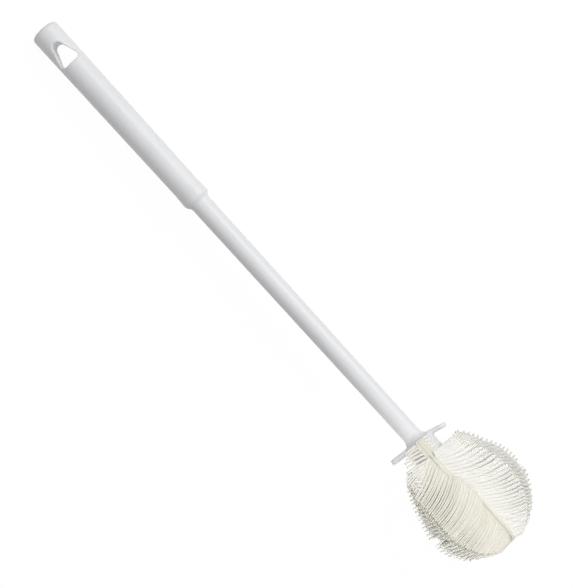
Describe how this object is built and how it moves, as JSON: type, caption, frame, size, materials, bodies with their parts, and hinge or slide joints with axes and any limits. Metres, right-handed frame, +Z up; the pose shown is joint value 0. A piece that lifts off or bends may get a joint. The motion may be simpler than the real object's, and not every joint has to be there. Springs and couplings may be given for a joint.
{
  "type": "bottle brush",
  "caption": "Straight moulded handle with a hang hole and a round head of stiff bristles, for scrubbing inside bottles and jars.",
  "frame": {"origin": "centre of the bounding box across and along, on the surface that the brush lies on", "axes": "+X along the brush, from the end of the grip to the tip of the head; +Y across it, to the side of the right ear; +Z up from the surface"},
  "size_m": [0.38, 0.0667, 0.0563],
  "materials": {
    "handle": "satin white moulded plastic",
    "bristles": "cream moulded plastic, slightly translucent"
  },
  "bodies": {
    "root": {"handle": "handle", "outer_strip": "bristles", "middle_strip": "bristles", "inner_strip": "bristles"}
  },
  "joints": []
}
